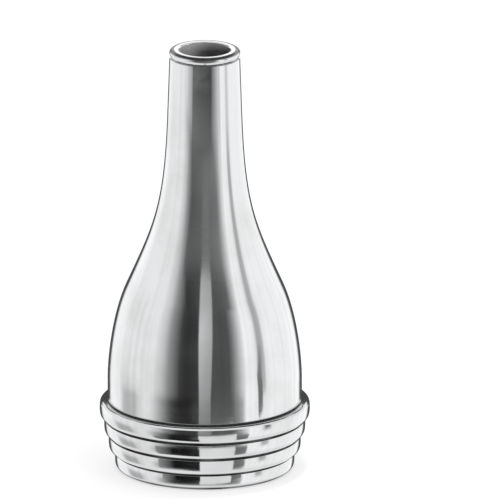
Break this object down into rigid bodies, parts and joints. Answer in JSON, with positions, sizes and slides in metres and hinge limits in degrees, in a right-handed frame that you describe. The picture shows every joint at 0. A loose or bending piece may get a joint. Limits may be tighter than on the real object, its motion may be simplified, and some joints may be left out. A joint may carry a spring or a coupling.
{
  "type": "ear speculum",
  "caption": "Round metal ear speculum: slim neck flaring into a bell, a rounded lip at the tip and a grip collar of stepped ribs.",
  "frame": {"origin": "centre of the base ring's foot, on the surface it stands on", "axes": "+Z along the funnel's axis from the wide end to the tip"},
  "size_m": [0.0184, 0.0184, 0.038],
  "materials": {
    "plated_brass": "polished plating over turned brass",
    "solder": "dull solder line"
  },
  "bodies": {
    "root": {"funnel_shell": "plated_brass", "lip_ring": "plated_brass", "grip_collar": "plated_brass", "collar_solder": "solder", "lip_solder": "solder"}
  },
  "joints": []
}
